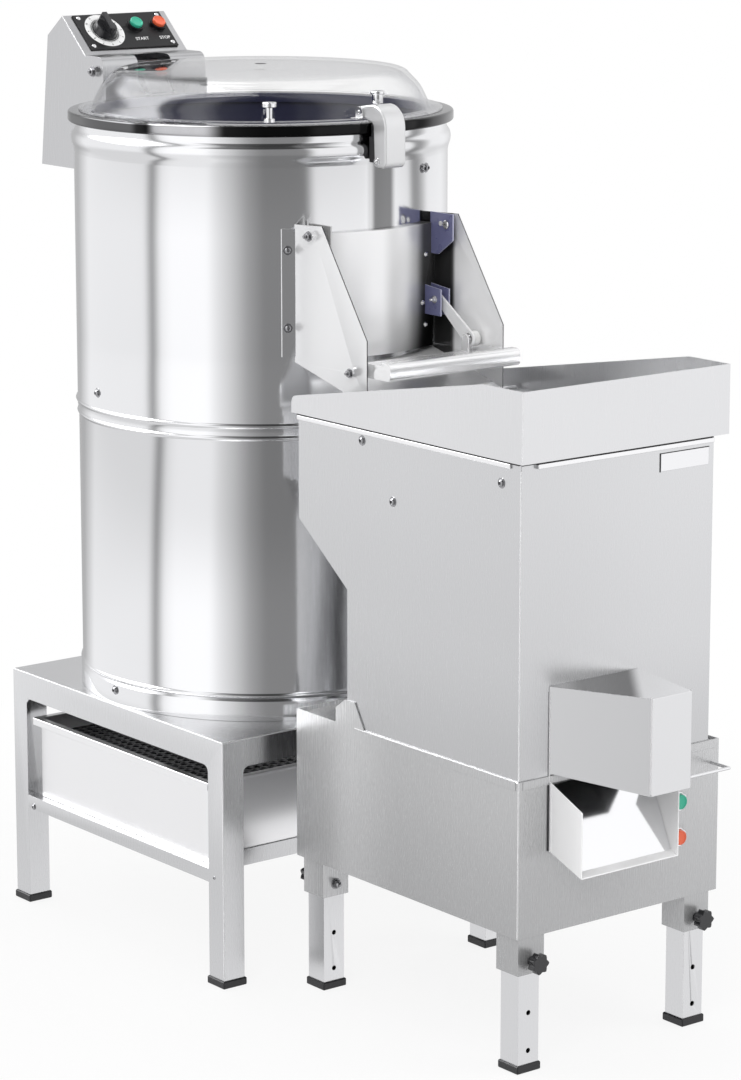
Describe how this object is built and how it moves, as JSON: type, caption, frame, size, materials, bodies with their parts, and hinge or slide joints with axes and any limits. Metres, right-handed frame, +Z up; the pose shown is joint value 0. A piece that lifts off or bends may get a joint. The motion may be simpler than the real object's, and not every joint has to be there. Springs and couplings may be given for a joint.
{
  "type": "potato peeling machine",
  "caption": "Free-standing abrasive potato peeling machine with a clear lid, lever discharge door and peel drawer, docked to a chipping machine that stands under its outlet.",
  "frame": {"origin": "on the floor, under the middle of the machine's outer box", "axes": "+Z up; -Y is the discharge side, where the chipping machine stands; +X is to the right seen from there"},
  "size_m": [0.63, 1.5025, 1.495],
  "materials": {
    "satin_steel": "satin brushed stainless steel sheet",
    "drum_steel": "bright rolled stainless steel sheet",
    "turned_steel": "bright turned stainless steel",
    "cast_iron": "painted casting",
    "aluminium": "satin cast aluminium",
    "black_rubber": "smooth black rubber",
    "black_plastic": "moulded black plastic",
    "clear_plastic": "clear moulded plastic",
    "liner": "dark blue abrasive lining",
    "abrasive": "coarse abrasive grit in resin",
    "green_plastic": "green push button",
    "red_plastic": "orange-red push button",
    "white_plastic": "white moulded plastic"
  },
  "bodies": {
    "root": {"stand_frame": "satin_steel", "lower_drum_shell": "satin_steel", "control_box": "satin_steel", "discharge_chute": "satin_steel", "cutter_base": "satin_steel", "cutter_housing": "satin_steel", "cutter_hopper": "satin_steel", "outlet_hood": "satin_steel", "upper_drum_shell": "drum_steel", "outlet_chute": "drum_steel", "drain_pipe": "turned_steel", "water_inlet": "turned_steel", "lid_hinge_pin": "turned_steel", "tray_pivot_rod": "turned_steel", "knife_grid": "turned_steel", "chamber_floor": "cast_iron", "peeler_motor": "aluminium", "cutter_motor": "aluminium", "rim_seal": "black_rubber", "drive_belt": "black_rubber", "stand_foot_1": "black_rubber", "stand_foot_2": "black_rubber", "stand_foot_3": "black_rubber", "stand_foot_4": "black_rubber", "control_panel": "black_plastic", "abrasive_liner": "liner", "timer_unit": "white_plastic"},
    "drawer": {"peel_drawer": "satin_steel", "drawer_sieve": "turned_steel"},
    "disc": {"peeling_disc": "abrasive", "disc_shaft": "turned_steel", "driven_pulley": "cast_iron"},
    "drive_pulley": {"motor_pulley": "cast_iron"},
    "lid": {"lid_dome": "clear_plastic", "lid_hinge_arm": "black_plastic", "latch_bracket": "turned_steel"},
    "latch": {"latch_arch": "aluminium"},
    "latch_screw": {"latch_knob": "turned_steel"},
    "timer": {"timer_knob": "black_plastic"},
    "start": {"start_button": "green_plastic"},
    "stop": {"stop_button": "red_plastic"},
    "door": {"discharge_door": "drum_steel"},
    "link": {"toggle_link": "satin_steel"},
    "tray": {"discharge_tray": "satin_steel"},
    "roller": {"link_roller": "white_plastic"},
    "rotor": {"cutter_rotor": "aluminium"},
    "cutter_start": {"cutter_start_button": "green_plastic"},
    "cutter_stop": {"cutter_stop_button": "red_plastic"},
    "leg_1": {"cutter_leg_1": "satin_steel", "cutter_foot_1": "black_rubber"},
    "clamp_1": {"clamp_knob_1": "black_plastic"},
    "leg_2": {"cutter_leg_2": "satin_steel", "cutter_foot_2": "black_rubber"},
    "clamp_2": {"clamp_knob_2": "black_plastic"},
    "leg_3": {"cutter_leg_3": "satin_steel", "cutter_foot_3": "black_rubber"},
    "clamp_3": {"clamp_knob_3": "black_plastic"},
    "leg_4": {"cutter_leg_4": "satin_steel", "cutter_foot_4": "black_rubber"},
    "clamp_4": {"clamp_knob_4": "black_plastic"}
  },
  "joints": [
    {"name": "drawer_slide", "type": "slide", "parent": "root", "child": "drawer", "axis": [-1, 0, 0], "range_m": [0, 0.4]},
    {"name": "disc_spin", "type": "hinge", "parent": "root", "child": "disc", "pos_m": [0, 0.25425, 0.966], "axis": [0, 0, 1], "continuous": true},
    {"name": "drive_pulley_spin", "type": "hinge", "parent": "root", "child": "drive_pulley", "pos_m": [0, 0.42925, 0.773], "axis": [0, 0, 1], "continuous": true},
    {"name": "lid_hinge", "type": "hinge", "parent": "root", "child": "lid", "pos_m": [0, 0.58125, 1.401], "axis": [-1, 0, 0], "range_deg": [0, 100]},
    {"name": "latch_swing", "type": "hinge", "parent": "lid", "child": "latch", "pos_m": [0, -0.03725, 1.3735], "axis": [-1, 0, 0], "range_deg": [0, 45]},
    {"name": "latch_screw_turn", "type": "hinge", "parent": "latch", "child": "latch_screw", "pos_m": [0, -0.05425, 1.387], "axis": [0, 0, 1], "continuous": true},
    {"name": "timer_turn", "type": "hinge", "parent": "root", "child": "timer", "pos_m": [-0.04, 0.64965, 1.46106], "axis": [0, -0.6743, 0.7385], "range_deg": [-300, 0]},
    {"name": "start_press", "type": "slide", "parent": "root", "child": "start", "axis": [0, 0.6743, -0.7385], "range_m": [0, 0.003], "stiffness_N_per_m": 1000, "springref_m": -0.001},
    {"name": "stop_press", "type": "slide", "parent": "root", "child": "stop", "axis": [0, 0.6743, -0.7385], "range_m": [0, 0.003], "stiffness_N_per_m": 1000, "springref_m": -0.001},
    {"name": "tray_press", "type": "hinge", "parent": "root", "child": "tray", "pos_m": [0, -0.16735, 0.9887], "axis": [1, 0, 0], "range_deg": [0, 60]},
    {"name": "door_swing", "type": "hinge", "parent": "root", "child": "door", "pos_m": [0, -0.06445, 1.19], "axis": [1, 0, 0], "range_deg": [-14, 0]},
    {"name": "link_swing", "type": "hinge", "parent": "door", "child": "link", "pos_m": [0, -0.07075, 1.07], "axis": [1, 0, 0], "range_deg": [0, 9.7]},
    {"name": "roller_spin", "type": "hinge", "parent": "tray", "child": "roller", "pos_m": [0, -0.14575, 1.015], "axis": [1, 0, 0], "continuous": true},
    {"name": "rotor_spin", "type": "hinge", "parent": "root", "child": "rotor", "pos_m": [0, -0.43575, 0.449], "axis": [0, 0, 1], "continuous": true},
    {"name": "cutter_start_press", "type": "slide", "parent": "root", "child": "cutter_start", "axis": [0, 1, 0], "range_m": [0, 0.003], "stiffness_N_per_m": 1000, "springref_m": -0.001},
    {"name": "cutter_stop_press", "type": "slide", "parent": "root", "child": "cutter_stop", "axis": [0, 1, 0], "range_m": [0, 0.003], "stiffness_N_per_m": 1000, "springref_m": -0.001},
    {"name": "leg_slide_1", "type": "slide", "parent": "root", "child": "leg_1", "axis": [0, 0, 1], "range_m": [0, 0.118]},
    {"name": "leg_slide_2", "type": "slide", "parent": "root", "child": "leg_2", "axis": [0, 0, 1], "range_m": [0, 0.118]},
    {"name": "leg_slide_3", "type": "slide", "parent": "root", "child": "leg_3", "axis": [0, 0, 1], "range_m": [0, 0.118]},
    {"name": "leg_slide_4", "type": "slide", "parent": "root", "child": "leg_4", "axis": [0, 0, 1], "range_m": [0, 0.118]},
    {"name": "clamp_turn_1", "type": "hinge", "parent": "root", "child": "clamp_1", "pos_m": [-0.168, -0.63505, 0.174], "axis": [0, -1, 0], "continuous": true},
    {"name": "clamp_turn_2", "type": "hinge", "parent": "root", "child": "clamp_2", "pos_m": [-0.168, -0.11145, 0.174], "axis": [0, 1, 0], "continuous": true},
    {"name": "clamp_turn_3", "type": "hinge", "parent": "root", "child": "clamp_3", "pos_m": [0.165, -0.63505, 0.174], "axis": [0, -1, 0], "continuous": true},
    {"name": "clamp_turn_4", "type": "hinge", "parent": "root", "child": "clamp_4", "pos_m": [0.165, -0.11145, 0.174], "axis": [0, 1, 0], "continuous": true}
  ],
  "couplings": [
    {"joint": "drive_pulley_spin", "follows": "disc_spin", "ratio": 3.9667},
    {"joint": "door_swing", "follows": "tray_press", "ratio": -0.232},
    {"joint": "link_swing", "follows": "tray_press", "ratio": 0.161}
  ]
}
